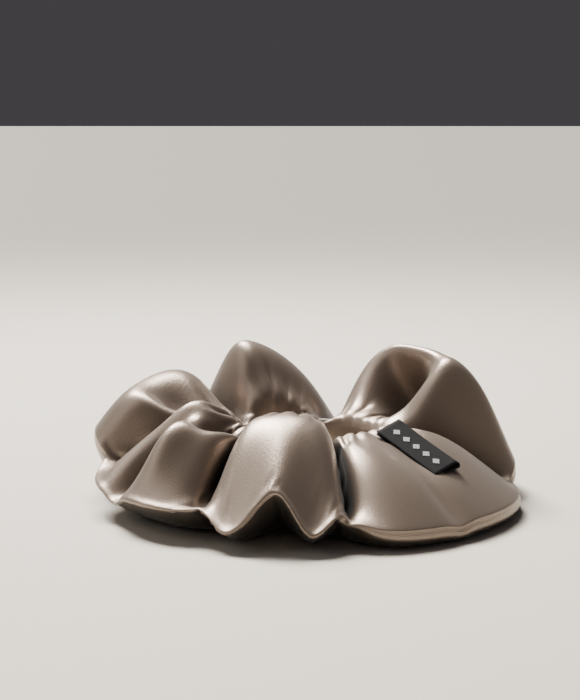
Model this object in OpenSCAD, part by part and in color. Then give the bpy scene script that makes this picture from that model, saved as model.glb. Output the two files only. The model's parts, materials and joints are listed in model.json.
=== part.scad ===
// Satin scrunchie: a gathered fabric tube on a ring of flat elastic, with a folded woven label.
// Origin: centre of the loop, on the surface that the scrunchie lies on. +Z up.

/* [Loop] */
// Radius of the relaxed loop that goes round the hair
loop_r = 20; // [17:0.5:21]
// Width of the inner edge of the cover, along the loop's axis
loop_h = 12; // [11:0.5:14]
// Height of the middle of the loop above the surface
loop_z = 13.5; // [12:0.5:16]

/* [Cover] */
// Wall of the cover: satin with its seam allowances
cloth_t = 0.8; // [0.6:0.1:1.2]
// How far the reach falls back in the gather between two puffs
gather_in = 5; // [2:0.5:7]
// Share of a puff's bulge that the gather between two puffs takes away
gather_flat = 0.35; // [0.1:0.05:0.5]
// Angle left open at each end of a cover half, in degrees
half_gap = 0.5; // [0.4:0.1:1.5]

/* [Elastic] */
// Width of the elastic band
band_w = 8; // [6:0.5:9]
// Thickness of the elastic band
band_t = 1; // [0.8:0.1:1.2]
// Length of the overlap where the band's ends are sewn together
band_lap = 12; // [8:1:16]

/* [Threads] */
// Diameter of the sewing thread
thread_d = 0.5; // [0.4:0.1:0.6]
// Length of one stitch in the closing seam
stitch_l = 2; // [1.5:0.25:3]

/* [Label] */
// Length of the label, along the cross seam
label_l = 23; // [18:1:25]
// Height of the folded label
label_h = 8.5; // [7:0.5:10]
// Thickness of one layer of the woven tape
tape_t = 0.35; // [0.3:0.05:0.5]
// Gap between the two layers of the folded tape
tape_gap = 0.4; // [0.3:0.1:0.8]
// Tilt of the label above the horizontal, in degrees
label_tilt = 18; // [10:1:60]

/* [Hidden] */
$fn = 96;
satin = "#b09c8b";
satin_dark = "#9a8676";
rubber_white = "#e8e4dc";
thread_grey = "#8b7a6c";
tape_black = "#18181b";
motif_silver = "#c9c9cd";

// Puffs round the ring: [angle, reach, height of the outer edge, bulge up, bulge down].
PUFFS = [[-64, 60, 4, 12, 6],
         [-22, 63, 3, 4.5, 8],
         [ 30, 62.8, 17, 23, 18],
         [ 76, 57.5, 18, 16, 19],
         [112, 59.8, 19, 20, 20],
         [160, 62.7, 14, 17, 15],
         [207, 61, 12, 16, 14],
         [252, 58.3, 9, 18, 12]];
station_step = 8;     // degrees between two sections of the cover
section_n = 20;       // points round a section
lobe_in = 1.3;          // the puffs start this far outside the loop's own wall
collar_t = 5.4;       // radial depth of the inner edge of the cover
band_r = loop_r + cloth_t + 0.8;
half_span = 180 - 2*half_gap;
thread_inset = cloth_t + thread_d;
right_start = -90 + half_gap;
left_start = 90 + half_gap;

// Place and lie of the label: middle of its sewn edge, heading and fall of that edge.
label_at = [26, -26, 16.8];
label_heading = -42;
label_fall = 24;
label_outer_r = tape_t + tape_gap/2;
motif_t = 0.15;
motif_n = 5;

function ease(t) = (1 - cos(180*t))/2;
function mix(a, b, t) = a + (b - a)*t;
function wrap(angle) = angle < PUFFS[0][0] ? wrap(angle + 360)
                     : angle >= PUFFS[0][0] + 360 ? wrap(angle - 360) : angle;
function puff(i) = i < len(PUFFS) ? PUFFS[i] : PUFFS[i - len(PUFFS)] + [360, 0, 0, 0, 0];
function puff_before(angle, i = 0) = puff(i + 1)[0] > angle ? i : puff_before(angle, i + 1);

// Reach, outer edge height, bulge up and bulge down at any angle, with the gathers between puffs.
function shape_at(angle) =
    let (a = wrap(angle), i = puff_before(a), p = puff(i), q = puff(i + 1),
         t = (a - p[0])/(q[0] - p[0]), dip = pow(sin(180*t), 2), m = mix(p, q, ease(t)))
    [m[1] - gather_in*dip, m[2], m[3]*(1 - gather_flat*dip), m[4]*(1 - gather_flat*dip)];

// One point of the cover's skin, `inset` inside the outer face: v = 0 is the outer edge.
function skin(angle, v, inset = 0) =
    let (s = shape_at(angle),
         r_in = loop_r + lobe_in + inset, r_out = s[0] - inset,
         rho = (r_in + r_out)/2 + (r_out - r_in)/2*cos(v),
         base = mix(loop_z, s[1], (rho - r_in)/(r_out - r_in)),
         bulge = sin(v) > 0 ? s[2] - inset : s[3] - inset)
    [rho*cos(angle), rho*sin(angle), max(base + bulge*sin(v), inset)];

function cover_section(angle, inset) = [for (k = [0:section_n - 1]) skin(angle, 360*k/section_n, inset)];

// Triangles across a ring of n points, between its upper and its lower chain.
function cap(n) = [for (k = [0:n/2 - 1]) each
                   [if (k < n/2 - 1) [k, k + 1, n - k - 1], if (k > 0) [k, n - k - 1, n - k]]];

// A closed solid through a list of rings with the same even number of points, flat at both ends.
module loft(rings) {
    n = len(rings[0]);
    last = (len(rings) - 1)*n;
    sides = [for (i = [0:len(rings) - 2]) for (k = [0:n - 1])
             let (a = i*n + k, b = i*n + (k + 1)%n) each [[a, b, a + n], [b, b + n, a + n]]];
    polyhedron(points = [for (ring = rings) each ring],
               faces = concat(sides, [for (f = cap(n)) [f[2], f[1], f[0]]],
                              [for (f = cap(n)) [last + f[0], last + f[1], last + f[2]]]));
}

// Solid of the puffs from one angle to another.
module puffs(start, span, inset = 0) {
    steps = ceil(span/station_step);
    loft([for (i = [0:steps]) cover_section(start + span*i/steps, inset)]);
}

// Part of a ring with a rectangular section.
module ring_part(start, span, r, depth, z, height) {
    rotate([0, 0, start])
        rotate_extrude(angle = span)
            translate([r, z - height/2])
                square([depth, height]);
}

// Half of the gathered cover: the puffs and the inner edge, hollow, open at both ends.
module cover_half(start) {
    difference() {
        union() {
            puffs(start, half_span);
            ring_part(start, half_span, loop_r, collar_t, loop_z, loop_h);
        }
        puffs(start - half_gap, half_span + 2*half_gap, cloth_t);
        ring_part(start - half_gap, half_span + 2*half_gap, loop_r + cloth_t, collar_t - 2*cloth_t,
                  loop_z, loop_h - 2*cloth_t);
    }
}

// A thread of round section along a path of points.
module thread(path, d = thread_d, sides = 8) {
    n = len(path);
    function along(i) = path[min(i + 1, n - 1)] - path[max(i - 1, 0)];
    function unit(a) = a/norm(a);
    loft([for (i = [0:n - 1])
          let (t = unit(along(i)), side = unit(cross(t, [0.1, 0.2, 1])), up = cross(side, t))
          [for (k = [0:sides - 1]) path[i] + d/2*(cos(360*k/sides)*side + sin(360*k/sides)*up)]]);
}

module cover_left() {
    color(satin)
        cover_half(left_start);
}

module cover_right() {
    color(satin)
        cover_half(right_start);
}

module elastic_left() {
    color(rubber_white)
        ring_part(left_start, half_span, band_r, band_t, loop_z, band_w);
}

// The right half of the band holds the overlap of its two ends.
lap_angle = -60;
lap_span = band_lap/(band_r + band_t)*180/PI;
module elastic_right() {
    color(rubber_white) {
        ring_part(right_start, half_span, band_r, band_t, loop_z, band_w);
        ring_part(lap_angle, lap_span, band_r + band_t, band_t, loop_z, band_w);
    }
}

// Zigzag stitches on the overlap of the band.
zigzag_n = 8;
module elastic_join_thread() {
    r = band_r + 2*band_t + thread_d/2 + 0.05;
    color(thread_grey)
        thread([for (i = [0:zigzag_n])
                let (a = lap_angle + lap_span*(0.15 + 0.7*i/zigzag_n))
                [r*cos(a), r*sin(a), loop_z + (i%2 == 0 ? -1 : 1)*band_w*0.3]]);
}

// The long seam runs inside the outer edge of the cover.
module seam_thread(start) {
    steps = ceil(half_span/station_step);
    thread([for (i = [0:steps]) skin(start + half_span*i/steps, 0, thread_inset)]);
}

module long_seam_thread_left() {
    color(thread_grey)
        seam_thread(left_start);
}

module long_seam_thread_right() {
    color(thread_grey)
        seam_thread(right_start);
}

// Short stitches that close the cover at the inner edge, at the front.
closing_v = 118;
closing_start = -86;
closing_n = 4;
module closing_seam_thread() {
    stitch_a = stitch_l/(loop_r + collar_t)*180/PI;
    color(satin_dark)
        for (i = [0:closing_n - 1]) {
            a = closing_start + i*stitch_a*1.4;
            thread([skin(a, closing_v, -thread_d), skin(a + stitch_a/2, closing_v, -thread_d),
                    skin(a + stitch_a, closing_v, -thread_d)]);
        }
}

// The label's own frame: x along its sewn edge, y out to its fold, z out of its face.
module label_frame() {
    translate(label_at)
        rotate([0, 0, label_heading])
            rotate([0, label_fall, 0])
                rotate([label_tilt, 0, 0])
                    children();
}

// A straight tongue with a round end at the label's fold.
module tongue(r, back = 0) {
    fold_y = label_h - label_outer_r;
    translate([-back, -r])
        square([fold_y + back, 2*r]);
    translate([fold_y, 0])
        circle(r);
}

// Section of the folded tape: two layers joined by a round fold.
module tape_section() {
    difference() {
        tongue(label_outer_r);
        tongue(tape_gap/2, tape_t);
    }
}

module woven_label() {
    color(tape_black)
        label_frame()
            rotate([90, 0, 90])
                translate([0, 0, -label_l/2])
                    linear_extrude(label_l)
                        tape_section();
}

// A generic row of diamonds on the label's face.
module label_motif() {
    pitch = label_l/(motif_n + 1);
    color(motif_silver)
        label_frame()
            for (i = [1:motif_n])
                translate([i*pitch - label_l/2, label_h/2, label_outer_r])
                    rotate([0, 0, 45])
                        linear_extrude(motif_t)
                            square(label_h*0.22, center = true);
}

cover_left();
cover_right();
elastic_left();
elastic_right();
elastic_join_thread();
long_seam_thread_left();
long_seam_thread_right();
closing_seam_thread();
woven_label();
label_motif();
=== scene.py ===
import json
import math

import bpy
import numpy as np
from mathutils import Matrix, Vector
from mathutils.bvhtree import BVHTree


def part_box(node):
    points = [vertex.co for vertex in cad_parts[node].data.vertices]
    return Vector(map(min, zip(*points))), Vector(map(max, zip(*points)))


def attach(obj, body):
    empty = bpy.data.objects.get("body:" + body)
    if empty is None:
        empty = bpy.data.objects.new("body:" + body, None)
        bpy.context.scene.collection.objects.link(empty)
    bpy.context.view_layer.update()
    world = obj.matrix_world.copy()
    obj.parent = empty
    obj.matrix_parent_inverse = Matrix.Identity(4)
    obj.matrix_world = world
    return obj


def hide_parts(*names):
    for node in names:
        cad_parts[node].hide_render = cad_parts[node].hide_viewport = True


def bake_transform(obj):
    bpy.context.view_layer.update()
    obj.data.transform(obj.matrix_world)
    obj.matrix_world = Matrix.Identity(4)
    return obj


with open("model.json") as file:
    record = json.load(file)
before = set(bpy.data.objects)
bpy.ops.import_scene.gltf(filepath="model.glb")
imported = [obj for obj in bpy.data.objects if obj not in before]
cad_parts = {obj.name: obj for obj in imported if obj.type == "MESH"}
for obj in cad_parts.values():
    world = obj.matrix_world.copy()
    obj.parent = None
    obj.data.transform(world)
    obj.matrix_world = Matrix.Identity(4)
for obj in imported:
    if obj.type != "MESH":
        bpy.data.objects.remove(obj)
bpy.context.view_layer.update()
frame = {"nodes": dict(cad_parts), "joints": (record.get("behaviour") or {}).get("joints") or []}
MM = 0.001

# ---------------------------------------------------------------- camera, floor and lights
# A plain pale table top in a softly lit room. The main light is broad and comes from above and
# behind, so the tops of the puffs shine and their fronts fall into shade.
camera_data = bpy.data.cameras.new("camera")
camera_data.sensor_fit = "VERTICAL"
camera_data.sensor_height = 36
camera_data.lens = 78.7
camera = bpy.data.objects.new("camera", camera_data)
bpy.context.scene.collection.objects.link(camera)
bpy.context.scene.camera = camera
elevation, distance = math.radians(14), 420 * MM
camera.location = (0, -distance * math.cos(elevation), distance * math.sin(elevation))
camera.rotation_euler = (math.radians(90 - 14 + 5.49), 0, math.radians(0.6))

bpy.ops.object.select_all(action="DESELECT")
bpy.ops.mesh.primitive_plane_add(size=60, location=(0, 0, 0))
floor = bpy.context.object
floor.name = "table_top"
paint = bpy.data.materials.new("pale_table")
paint.use_nodes = True
shader = paint.node_tree.nodes["Principled BSDF"]
shader.inputs["Base Color"].default_value = (0.82, 0.775, 0.69, 1)
shader.inputs["Roughness"].default_value = 0.75
floor.data.materials.append(paint)

world = bpy.data.worlds.new("room")
world.use_nodes = True
world.node_tree.nodes["Background"].inputs["Color"].default_value = (0.60, 0.56, 0.60, 1)
world.node_tree.nodes["Background"].inputs["Strength"].default_value = 0.10
bpy.context.scene.world = world

window = bpy.data.lights.new("window", "SUN")
window.energy, window.angle, window.color = 5.0, math.radians(20), (1.0, 0.96, 0.90)
window_object = bpy.data.objects.new("window", window)
bpy.context.scene.collection.objects.link(window_object)
window_object.rotation_euler = Vector((0.50, -0.85, -1.0)).to_track_quat("-Z", "Y").to_euler()


def studio_light(name, place, aim, size, power, colour):
    lamp = bpy.data.lights.new(name, "AREA")
    lamp.shape, lamp.size, lamp.size_y = "RECTANGLE", size[0], size[1]
    lamp.energy, lamp.color = power, colour
    lamp_object = bpy.data.objects.new(name, lamp)
    bpy.context.scene.collection.objects.link(lamp_object)
    lamp_object.location = place
    lamp_object.rotation_euler = (Vector(aim) - Vector(place)).to_track_quat("-Z", "Y").to_euler()


studio_light("left_panel", (-0.55, -0.05, 0.35), (0, 0, 0.01), (0.35, 0.5), 0.5, (1.0, 0.97, 0.93))
studio_light("overhead_panel", (-0.10, 0.28, 0.50), (0, 0, 0), (0.30, 0.24), 6.0, (1.0, 0.95, 0.89))

# ---------------------------------------------------------------- satin cover
# One strip of satin, 440 by 90 mm, sewn into a tube along its long edges, turned, gathered on the
# elastic and joined end to end. It stands in six puffs, with a deep gather between neighbours.
left_low, left_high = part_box("cover_left")
right_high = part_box("cover_right")[1]
band_low, band_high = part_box("elastic_right")
REACH = (right_high.x - left_low.x) / 2 / MM
HEIGHT = max(left_high.z, right_high.z) / MM
BAND_AND_SATIN = 2.3
LOOP_R = band_high.x / MM - BAND_AND_SATIN
BAND_Z = (band_low.z + band_high.z) / 2 / MM

# Each puff starts at its gather, in degrees round the loop, which swings by `sweep` on its way out.
# Reach is a share of the cover's reach, rim and rise are shares of its height, crest is how far out
# the puff is highest and peak how far to one side. Edge makes its sides steeper, swell makes them
# bulge over the gathers, and drop, lip and tuck shape the under layer: its depth, its groove at the
# seam and its lean outwards.
PUFFS = [
    dict(gather=-73, sweep=-6, reach=1.0, rim=0.11, rise=0.26, crest=0.34, peak=-0.2, edge=5, swell=0.24,
         drop=9, lip=1, tuck=0),
    dict(gather=-4, sweep=0, reach=1.0, rim=0.20, rise=0.72, crest=0.55, peak=0.05, edge=2.6, swell=0.12,
         drop=9, lip=1, tuck=0),
    dict(gather=76, sweep=-3, reach=0.95, rim=0.20, rise=0.73, crest=0.48, peak=0.30, edge=1.7, swell=0.10,
         drop=9, lip=1, tuck=0),
    dict(gather=142, sweep=-5, reach=0.99, rim=0.46, rise=0.44, crest=0.50, peak=0.0, edge=3.6, swell=0.18,
         drop=17, lip=0.6, tuck=0.2),
    dict(gather=196, sweep=-12, reach=0.97, rim=0.20, rise=0.38, crest=0.36, peak=0.1, edge=3, swell=0.24,
         drop=16, lip=0, tuck=-0.3),
    dict(gather=233, sweep=8, reach=0.94, rim=0.24, rise=0.42, crest=0.30, peak=0, edge=3, swell=0.20,
         drop=22, lip=0, tuck=-0.6),
]
GATHER_IN, GATHER_DIP = 4.0, 4.5
PLEATS, PLEAT_HEIGHT, PLEAT_REACH = 8, 0.5, 0.26
LINES_PER_PUFF, POINTS_ACROSS = 44, 44
SIM_SCALE, HOLD, PRESSURE, FRAMES = 10, 0.6, 0.05, 14

# Single folds: angle, share of the way out, half width in degrees, half length as a share of the
# way out, and how far the satin is lifted and pushed out there, in mm.
FOLDS = [
    (-45, 0.44, 11, 0.22, -2.6, 0),  # seat of the label
    (-50, 0.82, 3, 0.22, -1.6, 0),  # cross seam, running on below the label
    (36, 0.32, 15, 0.18, -13, 7),  # hollow of the spoon
    (36, 0.57, 22, 0.13, 3, -6),  # brow that hangs over the hollow
    (8, 0.50, 8, 0.35, 6, 0),  # right shoulder of the spoon
    (133, 0.46, 6, 0.26, -17, 0),  # fold at the left of the back puff
    (176, 0.40, 11, 0.18, -9, 0),  # scoop in the dome
    (205, 0.28, 6, 0.22, 4, 0),  # knuckle of the left-front puff
    (223, 0.28, 5, 0.12, -16, 0),  # dent beside the knuckle
    (210, 0.74, 5, 0.24, -8, -4),  # dimple
    (221, 0.62, 6, 0.22, 4, 2),  # bulge below the dent
    (250, 0.95, 7, 0.35, -6, 3),  # rolled edge at the front: down
    (262, 1.00, 6, 0.35, 5, -3),  # up
    (272, 1.00, 5, 0.35, -6, 3),  # down
    (281, 0.90, 4, 0.30, 4, -2),  # up
]

u = np.tile(np.linspace(-1, 1, LINES_PER_PUFF, endpoint=False), len(PUFFS))
own = np.repeat(np.arange(len(PUFFS)), LINES_PER_PUFF)


def on_lines(key):
    """A puff's value on each line across the tube, shared with its neighbour at the gather."""
    values = np.array([puff[key] for puff in PUFFS], float)
    neighbour = values[(own + np.where(u > 0, 1, -1)) % len(PUFFS)]
    share = 0.5 * np.abs(u) ** 6
    return values[own] * (1 - share) + neighbour * share


gathers = np.array([puff["gather"] for puff in PUFFS] + [PUFFS[0]["gather"] + 360], float)
sweeps = np.array([puff["sweep"] for puff in PUFFS] + [PUFFS[0]["sweep"]], float)
from_peak = (u - on_lines("peak")) / (1 - np.sign(u - on_lines("peak")) * on_lines("peak"))
standing = 1 - np.abs(from_peak) ** on_lines("edge")
reach = REACH * on_lines("reach") - GATHER_IN * np.abs(u) ** 4
rim_z, rise = HEIGHT * on_lines("rim"), HEIGHT * on_lines("rise")
crest_power = math.log(0.5) / np.log(on_lines("crest"))
drops, lips, leans, swell = on_lines("drop"), on_lines("lip"), on_lines("tuck"), on_lines("swell")


def across(v):
    """Points of every line at share v of the way from the elastic to the outer edge."""
    v = min(max(v, 0.0), 1.0)
    hump = np.sin(math.pi * v ** crest_power)
    place = (u + 1) / 2 + swell / 2 * np.sin(math.pi * u) * hump
    starts, ends = gathers[own] + sweeps[own] * v, gathers[own + 1] + sweeps[own + 1] * v
    angle = starts + (ends - starts) * place
    out = LOOP_R + (reach - LOOP_R) * v
    up = BAND_Z + (rim_z - BAND_Z) * v + rise * standing * hump
    up = up - GATHER_DIP * (1 - standing) * math.sin(math.pi * v)
    near_loop = math.sin(math.pi * min(v / PLEAT_REACH, 1))
    up = up + PLEAT_HEIGHT * np.cos(PLEATS * math.pi * u) * near_loop * standing
    for fold_angle, fold_share, width, length, lift, push in FOLDS:
        apart = (angle - fold_angle + 180) % 360 - 180
        depth = np.exp(-(apart / width) ** 2 - ((v - fold_share) / length) ** 2)
        depth = depth * standing * math.sin(math.pi / 2 * min(v / 0.15, 1))
        up, out = up + lift * depth, out + push * depth
    angle = np.radians(angle)
    return np.stack([out * np.cos(angle), out * np.sin(angle), up], 1)


def eased(x, low, high):
    t = min(max((x - low) / (high - low), 0), 1)
    return t * t * (3 - 2 * t)


COLLAR, CREASE, GROOVE, NEAR_LOOP = 6.0, 0.6, 1.3, 0.22
section, shares = [], []
for k in range(POINTS_ACROSS):
    turn = 2 * math.pi * k / POINTS_ACROSS
    linear = 1 - turn / math.pi if turn <= math.pi else turn / math.pi - 1
    v = 0.7 * (1 + math.cos(turn)) / 2 + 0.3 * linear
    shares.append(v)
    here = across(v)
    along = np.roll(here, -1, 0) - np.roll(here, 1, 0)
    outward = across(v + 0.02) - across(v - 0.02)
    normal = np.cross(outward, along)
    normal /= np.linalg.norm(normal, axis=1)[:, None]
    normal *= np.sign((normal * np.array([0, 0, 1])).sum(1).mean())
    near = eased(v, 0, NEAR_LOOP)
    if turn <= math.pi:
        side = np.array([0, 0, 1.0]) * (1 - near) + normal * near
        depth = np.full(len(here), COLLAR * (1 - near) + CREASE * near)
        fullness = 0.2 + 0.4 * near
    else:
        chord = across(0) + (across(1) - across(0)) * v
        here = here + (chord - here) * eased(v, 0, 0.3)
        out_of_ring = here * np.array([1, 1, 0]) / np.hypot(here[:, 0], here[:, 1])[:, None]
        side = np.array([0, 0, -1.0]) + out_of_ring * (leans * near)[:, None]
        depth = COLLAR * (1 - near) + drops * near
        fullness = 0.2 * (1 - near) + (1.7 - 0.7 * lips + 1.5 * np.maximum(-leans, 0)) * near
    side /= np.linalg.norm(side, axis=1)[:, None]
    rim_out = outward / np.linalg.norm(outward, axis=1)[:, None]
    under_lip = (turn > math.pi) * eased(v, 0.8, 0.97) * abs(math.sin(turn)) ** 0.3
    here = here + rim_out * (lips * GROOVE * (under_lip - (k == 0)))[:, None]
    section.append(here + side * (depth * abs(math.sin(turn)) ** fullness)[:, None])
grid = np.stack(section, 1)
grid[:, :, 2] = np.maximum(grid[:, :, 2], 0.3)
n_round, n_across = grid.shape[:2]
corners = [(i * n_across + k, i * n_across + (k + 1) % n_across,
            (i + 1) % n_round * n_across + (k + 1) % n_across, (i + 1) % n_round * n_across + k)
           for i in range(n_round) for k in range(n_across)]
mesh = bpy.data.meshes.new("satin_cover")
mesh.from_pydata((grid.reshape(-1, 3) * MM * SIM_SCALE).tolist(), [], corners)
flat_cloth = mesh.uv_layers.new(name="flat_cloth")
for i in range(n_round):
    for k in range(n_across):
        for c, (di, dk) in enumerate(((0, 0), (0, 1), (1, 1), (1, 0))):
            place = ((i + di) / n_round * 0.44, (k + dk) / n_across * 0.09)
            flat_cloth.data[(i * n_across + k) * 4 + c].uv = place
cover = bpy.data.objects.new("satin_cover", mesh)
bpy.context.scene.collection.objects.link(cover)
bpy.ops.object.select_all(action="DESELECT")
bpy.context.view_layer.objects.active = cover
cover.select_set(True)
bpy.ops.object.mode_set(mode="EDIT")
bpy.ops.mesh.select_all(action="SELECT")
bpy.ops.mesh.normals_make_consistent(inside=False)
bpy.ops.object.mode_set(mode="OBJECT")

held = cover.vertex_groups.new(name="held")
for k, v in enumerate(shares):
    for i in range(n_round):
        hold = 1.0 if v < 0.10 or (v > 0.82 and lips[i] > 0.5) else HOLD
        held.add([i * n_across + k], hold, "REPLACE")
bpy.ops.mesh.primitive_plane_add(size=4, location=(0, 0, 0))
tray = bpy.context.object
tray.modifiers.new("rest", "COLLISION")
tray.collision.thickness_outer = 0.004
tray.collision.cloth_friction = 20
cloth = cover.modifiers.new("drape", "CLOTH")
cloth.settings.quality = 6
cloth.settings.mass = 0.2
cloth.settings.tension_stiffness = 12
cloth.settings.compression_stiffness = 8
cloth.settings.shear_stiffness = 4
cloth.settings.bending_stiffness = 8.0
cloth.settings.vertex_group_mass = "held"
cloth.settings.pin_stiffness = 1.0
cloth.settings.shrink_min = 0.0
cloth.settings.use_pressure = True
cloth.settings.uniform_pressure_force = PRESSURE
cloth.settings.effector_weights.gravity = 0.15
cloth.collision_settings.use_self_collision = True
cloth.collision_settings.self_distance_min = 0.006
cloth.collision_settings.distance_min = 0.004
cloth.collision_settings.self_friction = 2
scene = bpy.context.scene
for moment in range(1, FRAMES + 1):
    scene.frame_set(moment)
bpy.context.view_layer.objects.active = cover
bpy.ops.object.modifier_apply(modifier="drape")
scene.frame_set(1)
bpy.data.objects.remove(tray)
rim_line = [cover.data.vertices[i * n_across].co / SIM_SCALE for i in range(n_round)]
rim_inside = [(cover.data.vertices[i * n_across + 4].co + cover.data.vertices[i * n_across - 4 + n_across].co)
              / (2 * SIM_SCALE) for i in range(n_round)]
smooth = cover.modifiers.new("smooth", "SUBSURF")
smooth.levels = smooth.render_levels = 1
bpy.ops.object.modifier_apply(modifier="smooth")
mesh = cover.data
mesh.transform(Matrix.Scale(1 / SIM_SCALE, 4))
top_of_cover = BVHTree.FromPolygons([v.co.copy() for v in mesh.vertices],
                                    [list(p.vertices) for p in mesh.polygons])
thickness = cover.modifiers.new("thickness", "SOLIDIFY")
thickness.thickness = 0.3 * MM
thickness.offset = -1
bpy.ops.object.modifier_apply(modifier="thickness")
mesh.shade_smooth()


def new_group(name, inputs, outputs):
    group = bpy.data.node_groups.new(name, "ShaderNodeTree")
    for label, kind, value in inputs:
        socket = group.interface.new_socket(label, in_out="INPUT", socket_type=kind)
        socket.default_value = value
    for label, kind in outputs:
        group.interface.new_socket(label, in_out="OUTPUT", socket_type=kind)
    return group, group.nodes.new("NodeGroupInput"), group.nodes.new("NodeGroupOutput")


def material_with(name, group):
    material = bpy.data.materials.new(name)
    material.use_nodes = True
    node = material.node_tree.nodes.new("ShaderNodeGroup")
    node.node_tree = group
    return material, node, material.node_tree.nodes["Principled BSDF"], material.node_tree.links


# Satin: long floats of thread run across the strip, so the shine is streaked along them, with a
# fine grain on top and a slow change of tone from fold to fold. Painted shade darkens the colour
# where the satin is closed in, in its folds, gathers and hollows.
weave, given, made = new_group("satin_weave_and_fold_shade", [("Light", "NodeSocketColor", (1, 1, 1, 1)),
                                               ("Dark", "NodeSocketColor", (0, 0, 0, 1))],
                               [("Colour", "NodeSocketColor"), ("Roughness", "NodeSocketFloat"),
                                ("Height", "NodeSocketFloat")])
nodes, links = weave.nodes, weave.links
flat_place = nodes.new("ShaderNodeUVMap")
flat_place.uv_map = "flat_cloth"
stretch = nodes.new("ShaderNodeMapping")
stretch.inputs["Scale"].default_value = (1400, 3200, 1)
links.new(flat_place.outputs["UV"], stretch.inputs["Vector"])
floats = nodes.new("ShaderNodeTexNoise")
floats.inputs["Scale"].default_value = 1.0
floats.inputs["Detail"].default_value = 2.0
links.new(stretch.outputs["Vector"], floats.inputs["Vector"])
tone = nodes.new("ShaderNodeTexNoise")
tone.inputs["Scale"].default_value = 34.0
tone.inputs["Detail"].default_value = 3.0
links.new(flat_place.outputs["UV"], tone.inputs["Vector"])
both = nodes.new("ShaderNodeMath")
both.operation = "MULTIPLY_ADD"
both.inputs[1].default_value = 0.45
links.new(floats.outputs["Fac"], both.inputs[0])
share = nodes.new("ShaderNodeMath")
share.operation = "MULTIPLY"
share.inputs[1].default_value = 0.55
links.new(tone.outputs["Fac"], share.inputs[0])
links.new(share.outputs[0], both.inputs[2])
mix = nodes.new("ShaderNodeMix")
mix.data_type = "RGBA"
links.new(both.outputs[0], mix.inputs["Factor"])
links.new(given.outputs["Dark"], mix.inputs["A"])
links.new(given.outputs["Light"], mix.inputs["B"])
# Painted shade: ambient occlusion scales the satin colour down to 6 % of its tone in the folds, gathers and
# hollows.
folds = nodes.new("ShaderNodeAmbientOcclusion")
folds.samples = 8
folds.inputs["Distance"].default_value = 0.016
links.new(mix.outputs["Result"], folds.inputs["Color"])
fold_shade_amount = nodes.new("ShaderNodeMapRange")
fold_shade_amount.inputs["From Min"].default_value = 0.15
fold_shade_amount.inputs["From Max"].default_value = 0.85
fold_shade_amount.inputs["To Min"].default_value = 0.06
links.new(folds.outputs["AO"], fold_shade_amount.inputs["Value"])
shaded = nodes.new("ShaderNodeVectorMath")
shaded.operation = "SCALE"
links.new(mix.outputs["Result"], shaded.inputs[0])
links.new(fold_shade_amount.outputs["Result"], shaded.inputs["Scale"])
links.new(shaded.outputs["Vector"], made.inputs["Colour"])
gloss = nodes.new("ShaderNodeMapRange")
gloss.inputs["To Min"].default_value = 0.28
gloss.inputs["To Max"].default_value = 0.40
links.new(both.outputs[0], gloss.inputs["Value"])
links.new(gloss.outputs["Result"], made.inputs["Roughness"])
links.new(floats.outputs["Fac"], made.inputs["Height"])

satin, weave_node, shader, links = material_with("taupe_satin", weave)
weave_node.inputs["Light"].default_value = (0.43, 0.345, 0.280, 1)
weave_node.inputs["Dark"].default_value = (0.29, 0.222, 0.180, 1)
# The base colour from the group carries the painted fold shade.
links.new(weave_node.outputs["Colour"], shader.inputs["Base Color"])
links.new(weave_node.outputs["Roughness"], shader.inputs["Roughness"])
grain = satin.node_tree.nodes.new("ShaderNodeBump")
grain.inputs["Strength"].default_value = 0.6
grain.inputs["Distance"].default_value = 0.00011
links.new(weave_node.outputs["Height"], grain.inputs["Height"])
links.new(grain.outputs["Normal"], shader.inputs["Normal"])
shader.inputs["Metallic"].default_value = 0.6
shader.inputs["Sheen Weight"].default_value = 0.12
shader.inputs["Sheen Roughness"].default_value = 0.4
cover.data.materials.append(satin)
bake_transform(cover)
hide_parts("cover_left", "cover_right")

# ---------------------------------------------------------------- long seam thread
# The thread that closes the tube lengthwise. It runs inside the cover all round its outer edge,
# just behind the groove where the two edges of the strip meet.
def tube(name, path, radius, closed, sides=6):
    """A thread of round section along a path, as one closed mesh."""
    path = [Vector(p) for p in path]
    count, rings, faces = len(path), [], []
    side = Vector((0, 0, 1))
    for i, here in enumerate(path):
        before = path[i - 1] if closed or i else path[i]
        after = path[(i + 1) % count] if closed or i < count - 1 else path[i]
        along = (after - before).normalized()
        side = (side - along * side.dot(along)).normalized()
        other = along.cross(side)
        end = 0.45 if not closed and i in (0, count - 1) else 1.0
        for j in range(sides):
            turn = 2 * math.pi * j / sides
            rings.append(here + (side * math.cos(turn) + other * math.sin(turn)) * radius * end)
    for i in range(count if closed else count - 1):
        for j in range(sides):
            a, b = i * sides + j, i * sides + (j + 1) % sides
            c, d = (i + 1) % count * sides + (j + 1) % sides, (i + 1) % count * sides + j
            faces.append((a, b, c, d))
    if not closed:
        faces += [tuple(range(sides - 1, -1, -1)), tuple((count - 1) * sides + j for j in range(sides))]
    thread_mesh = bpy.data.meshes.new(name)
    thread_mesh.from_pydata([tuple(p) for p in rings], [], faces)
    thread_mesh.shade_smooth()
    piece = bpy.data.objects.new(name, thread_mesh)
    bpy.context.scene.collection.objects.link(piece)
    return piece


thread_line = [a + (b - a).normalized() * 0.9 * MM for a, b in zip(rim_line, rim_inside)]
long_seam = tube("long_seam_stitches", thread_line, 0.2 * MM, closed=True)

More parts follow.
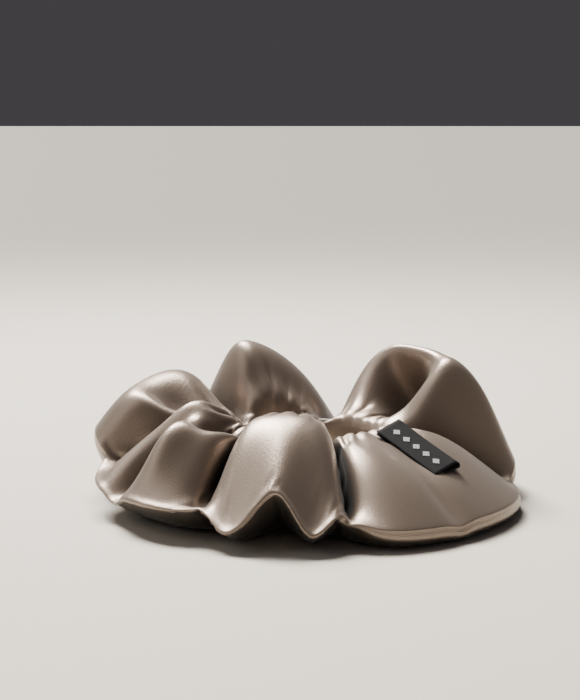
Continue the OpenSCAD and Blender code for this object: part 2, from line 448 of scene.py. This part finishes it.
twist, given, made = new_group("twisted_thread", [("Light", "NodeSocketColor", (1, 1, 1, 1)),
                                                  ("Dark", "NodeSocketColor", (0, 0, 0, 1))],
                               [("Colour", "NodeSocketColor"), ("Height", "NodeSocketFloat")])
nodes, links = twist.nodes, twist.links
place = nodes.new("ShaderNodeTexCoord")
plies = nodes.new("ShaderNodeTexWave")
plies.bands_direction = "DIAGONAL"
plies.inputs["Scale"].default_value = 900.0
plies.inputs["Distortion"].default_value = 1.5
links.new(place.outputs["Object"], plies.inputs["Vector"])
mix = nodes.new("ShaderNodeMix")
mix.data_type = "RGBA"
links.new(plies.outputs["Fac"], mix.inputs["Factor"])
links.new(given.outputs["Dark"], mix.inputs["A"])
links.new(given.outputs["Light"], mix.inputs["B"])
links.new(mix.outputs["Result"], made.inputs["Colour"])
links.new(plies.outputs["Fac"], made.inputs["Height"])


def thread_material(name, light, dark):
    material, node, shader, links = material_with(name, twist)
    node.inputs["Light"].default_value, node.inputs["Dark"].default_value = light, dark
    links.new(node.outputs["Colour"], shader.inputs["Base Color"])
    bump = material.node_tree.nodes.new("ShaderNodeBump")
    bump.inputs["Strength"].default_value = 0.4
    bump.inputs["Distance"].default_value = 0.00005
    links.new(node.outputs["Height"], bump.inputs["Height"])
    links.new(bump.outputs["Normal"], shader.inputs["Normal"])
    shader.inputs["Roughness"].default_value = 0.55
    return material


taupe_thread = thread_material("taupe_thread", (0.46, 0.38, 0.31, 1), (0.26, 0.20, 0.16, 1))
long_seam.data.materials.append(taupe_thread)
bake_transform(long_seam)
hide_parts("long_seam_thread_left", "long_seam_thread_right")

# ---------------------------------------------------------------- closing seam
# Where the two ends of the tube are closed over the elastic, a narrow hem is rolled under and
# caught down with a few short hand stitches.
def on_cover(x, y, lift):
    """The top of the cover at x, y in mm, raised by lift mm."""
    hit = top_of_cover.ray_cast(Vector((x * MM, y * MM, 60 * MM)), Vector((0, 0, -1)))[0]
    return Vector((x * MM, y * MM, hit.z + lift * MM))


HEM_R, HEM_START, HEM_SPAN, HEM_POINTS = LOOP_R + 1.8, -106, 26, 9


def round_loop(radius, degrees):
    return radius * math.cos(math.radians(degrees)), radius * math.sin(math.radians(degrees))


hem_line = [round_loop(HEM_R, HEM_START + HEM_SPAN * i / (HEM_POINTS - 1)) for i in range(HEM_POINTS)]
hem = tube("closing_hem", [on_cover(x, y, 0.25) for x, y in hem_line], 0.55 * MM, closed=False, sides=10)
finish_hem = hem.modifiers.new("round", "SUBSURF")
finish_hem.levels = finish_hem.render_levels = 2
bpy.ops.object.select_all(action="DESELECT")
bpy.context.view_layer.objects.active = hem
hem.select_set(True)
bpy.ops.object.modifier_apply(modifier="round")
hem.data.uv_layers.new(name="flat_cloth")
hem.data.materials.append(satin)
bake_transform(hem)

stitches = []
for i in range(4):
    degrees = HEM_START + 8 + 3 * i
    stitch = tube("stitch", [on_cover(*round_loop(HEM_R + 1.5, degrees - 0.8), 0.1),
                             on_cover(*round_loop(HEM_R + 1.0, degrees), 0.35),
                             on_cover(*round_loop(HEM_R + 0.4, degrees + 0.8), 0.5)], 0.16 * MM, closed=False)
    stitch.data.materials.append(taupe_thread)
    stitches.append(stitch)
bpy.ops.object.select_all(action="DESELECT")
for stitch in stitches:
    stitch.select_set(True)
bpy.context.view_layer.objects.active = stitches[0]
bpy.ops.object.join()
closing_stitches = bpy.context.object
closing_stitches.name = "closing_seam_stitches"
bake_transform(closing_stitches)
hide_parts("closing_seam_thread")

# ---------------------------------------------------------------- elastic band
# A flat band of braided elastic inside the cover, drawn up so that the satin gathers on it. Its
# two ends lap and are held by a zigzag of thread.
low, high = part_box("elastic_left")
band_r = band_high[0]
bpy.ops.object.select_all(action="DESELECT")
bpy.ops.mesh.primitive_cylinder_add(vertices=180, radius=band_r, depth=high[2] - low[2],
                                    end_fill_type="NOTHING", location=(0, 0, 0))
band = bpy.context.object
band.name = "elastic_band"
band.data.transform(Matrix.Translation((0, 0, (low[2] + high[2]) / 2)))
weft = band.modifiers.new("thickness", "SOLIDIFY")
weft.thickness = 1.0 * MM
weft.offset = -1
bpy.ops.object.modifier_apply(modifier="thickness")
braid, given, made = new_group("braided_elastic", [("Light", "NodeSocketColor", (1, 1, 1, 1)),
                                                   ("Dark", "NodeSocketColor", (0, 0, 0, 1))],
                               [("Colour", "NodeSocketColor"), ("Height", "NodeSocketFloat")])
nodes, links = braid.nodes, braid.links
place = nodes.new("ShaderNodeTexCoord")
ribs = nodes.new("ShaderNodeTexWave")
ribs.bands_direction = "Z"
ribs.inputs["Scale"].default_value = 380.0
ribs.inputs["Distortion"].default_value = 2.0
links.new(place.outputs["Object"], ribs.inputs["Vector"])
mix = nodes.new("ShaderNodeMix")
mix.data_type = "RGBA"
links.new(ribs.outputs["Fac"], mix.inputs["Factor"])
links.new(given.outputs["Dark"], mix.inputs["A"])
links.new(given.outputs["Light"], mix.inputs["B"])
links.new(mix.outputs["Result"], made.inputs["Colour"])
links.new(ribs.outputs["Fac"], made.inputs["Height"])
elastic, braid_node, shader, links = material_with("braided_elastic", braid)
braid_node.inputs["Light"].default_value = (0.72, 0.69, 0.63, 1)
braid_node.inputs["Dark"].default_value = (0.45, 0.42, 0.38, 1)
links.new(braid_node.outputs["Colour"], shader.inputs["Base Color"])
bump = elastic.node_tree.nodes.new("ShaderNodeBump")
bump.inputs["Strength"].default_value = 0.5
bump.inputs["Distance"].default_value = 0.0002
links.new(braid_node.outputs["Height"], bump.inputs["Height"])
links.new(bump.outputs["Normal"], shader.inputs["Normal"])
shader.inputs["Roughness"].default_value = 0.7
band.data.materials.append(elastic)
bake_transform(band)
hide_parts("elastic_left", "elastic_right")

# ---------------------------------------------------------------- elastic join
# A zigzag of machine stitches through the overlap of the elastic's two ends, in a grey thread.
join_thread = frame["nodes"]["elastic_join_thread"]
join_thread.data.materials.clear()
grey_thread = thread_material("grey_thread", (0.42, 0.38, 0.34, 1), (0.22, 0.19, 0.17, 1))
join_thread.data.materials.append(grey_thread)

# ---------------------------------------------------------------- woven label
# A short length of black woven tape folded along its middle and sewn into a seam of the cover by
# both edges. The fold stands free, and the under layer shows past the end of the upper one.
hinge = next(j for j in frame["joints"] if j["name"] == "label_flap")
seam_way = Vector(hinge["axis"]).normalized()
level = Vector((0, 0, 1)).cross(seam_way).normalized()
lie = Matrix.Rotation(math.radians(18), 3, seam_way)
width_way = lie @ level
face_way = seam_way.cross(width_way)
seam_middle = Vector(hinge["pos_m"])
TAPE_L, TAPE_H, TAPE_GAP, TAPE_ALONG = 21, 8.5, 0.38, -1.0


def on_label(x, y, z):
    """A point x mm along the sewn edge, y mm out from it and z mm above the under layer."""
    return seam_middle + (seam_way * (x + TAPE_ALONG) + width_way * y + face_way * z) * MM


profile = []
for k in range(13):
    profile.append((TAPE_H * k / 12 * 0.95, 0.0, 1.0))
for k in range(1, 6):
    turn = math.pi * k / 6
    profile.append((TAPE_H * 0.95 + math.sin(turn) * TAPE_GAP, TAPE_GAP * (1 - math.cos(turn)), 1 - k / 6))
for k in range(13):
    profile.append((TAPE_H * (12 - k) / 12 * 0.95, 2 * TAPE_GAP, 0.0))
tape_points, tape_faces = [], []
for i in range(25):
    x = TAPE_L * (i / 24 - 0.5)
    for y, z, under in profile:
        skew = under * 1.2 * max(i / 24 - 0.5, 0) * 2 * y / TAPE_H
        curl = 0.25 * math.sin(math.pi * i / 24) * (y / TAPE_H) ** 2
        tape_points.append(on_label(x + skew, y, z + 0.05 - curl))
for i in range(24):
    for k in range(len(profile) - 1):
        a = i * len(profile) + k
        tape_faces.append((a, a + 1, a + 1 + len(profile), a + len(profile)))
tape_mesh = bpy.data.meshes.new("folded_tape")
tape_mesh.from_pydata([tuple(p) for p in tape_points], [], tape_faces)
tape_mesh.uv_layers.new(name="flat_tape")
for polygon in tape_mesh.polygons:
    for loop in polygon.loop_indices:
        row, column = divmod(tape_mesh.loops[loop].vertex_index, len(profile))
        across_tape = 2 * TAPE_H * MM * column / (len(profile) - 1)
        tape_mesh.uv_layers[0].data[loop].uv = (TAPE_L * MM * row / 24, across_tape)
label_tape = bpy.data.objects.new("folded_tape", tape_mesh)
bpy.context.scene.collection.objects.link(label_tape)
bpy.ops.object.select_all(action="DESELECT")
bpy.context.view_layer.objects.active = label_tape
label_tape.select_set(True)
weight = label_tape.modifiers.new("thickness", "SOLIDIFY")
weight.thickness = 0.3 * MM
weight.offset = 0
bpy.ops.object.modifier_apply(modifier="thickness")
tape_mesh.shade_smooth()

ribbed, given, made = new_group("woven_tape", [("Light", "NodeSocketColor", (1, 1, 1, 1)),
                                               ("Dark", "NodeSocketColor", (0, 0, 0, 1))],
                                [("Colour", "NodeSocketColor"), ("Height", "NodeSocketFloat")])
nodes, links = ribbed.nodes, ribbed.links
tape_place = nodes.new("ShaderNodeUVMap")
tape_place.uv_map = "flat_tape"
ribs = nodes.new("ShaderNodeTexBrick")
ribs.inputs["Scale"].default_value = 1200.0
ribs.inputs["Mortar Size"].default_value = 0.08
links.new(tape_place.outputs["UV"], ribs.inputs["Vector"])
links.new(given.outputs["Light"], ribs.inputs["Color1"])
links.new(given.outputs["Dark"], ribs.inputs["Color2"])
links.new(given.outputs["Dark"], ribs.inputs["Mortar"])
links.new(ribs.outputs["Color"], made.inputs["Colour"])
links.new(ribs.outputs["Fac"], made.inputs["Height"])


def tape_material(name, light, dark, rough):
    material, node, shader, links = material_with(name, ribbed)
    node.inputs["Light"].default_value, node.inputs["Dark"].default_value = light, dark
    links.new(node.outputs["Colour"], shader.inputs["Base Color"])
    bump = material.node_tree.nodes.new("ShaderNodeBump")
    bump.invert = True
    bump.inputs["Strength"].default_value = 0.5
    bump.inputs["Distance"].default_value = 0.00006
    links.new(node.outputs["Height"], bump.inputs["Height"])
    links.new(bump.outputs["Normal"], shader.inputs["Normal"])
    shader.inputs["Roughness"].default_value = rough
    shader.inputs["Specular IOR Level"].default_value = 0.25
    return material


label_tape.data.materials.append(tape_material("black_woven_tape", (0.012, 0.012, 0.015, 1),
                                               (0.005, 0.005, 0.007, 1), 0.8))
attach(label_tape, "label")
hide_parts("woven_label")

diamonds = []
for i in range(5):
    bpy.ops.object.select_all(action="DESELECT")
    bpy.ops.mesh.primitive_cylinder_add(vertices=4, radius=1.15 * MM, depth=0.16 * MM, location=(0, 0, 0))
    diamond = bpy.context.object
    x, y = TAPE_L * ((i + 1) / 6 - 0.5), TAPE_H * 0.47
    curl = 0.25 * math.sin(math.pi * (x / TAPE_L + 0.5)) * (y / TAPE_H) ** 2
    turned = Matrix((seam_way, width_way, face_way)).transposed().to_4x4()
    turned.translation = on_label(x, y, 2 * TAPE_GAP + 0.05 - curl + 0.2)
    diamond.data.transform(turned)
    diamonds.append(diamond)
bpy.ops.object.select_all(action="DESELECT")
for diamond in diamonds:
    diamond.select_set(True)
bpy.context.view_layer.objects.active = diamonds[0]
bpy.ops.object.join()
motif = bpy.context.object
motif.name = "woven_motif"
soften = motif.modifiers.new("soften", "BEVEL")
soften.width = 0.05 * MM
soften.segments = 2
bpy.ops.object.modifier_apply(modifier="soften")
motif.data.materials.append(thread_material("silver_yarn", (0.62, 0.61, 0.62, 1), (0.36, 0.35, 0.37, 1)))
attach(motif, "label")
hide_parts("label_motif")
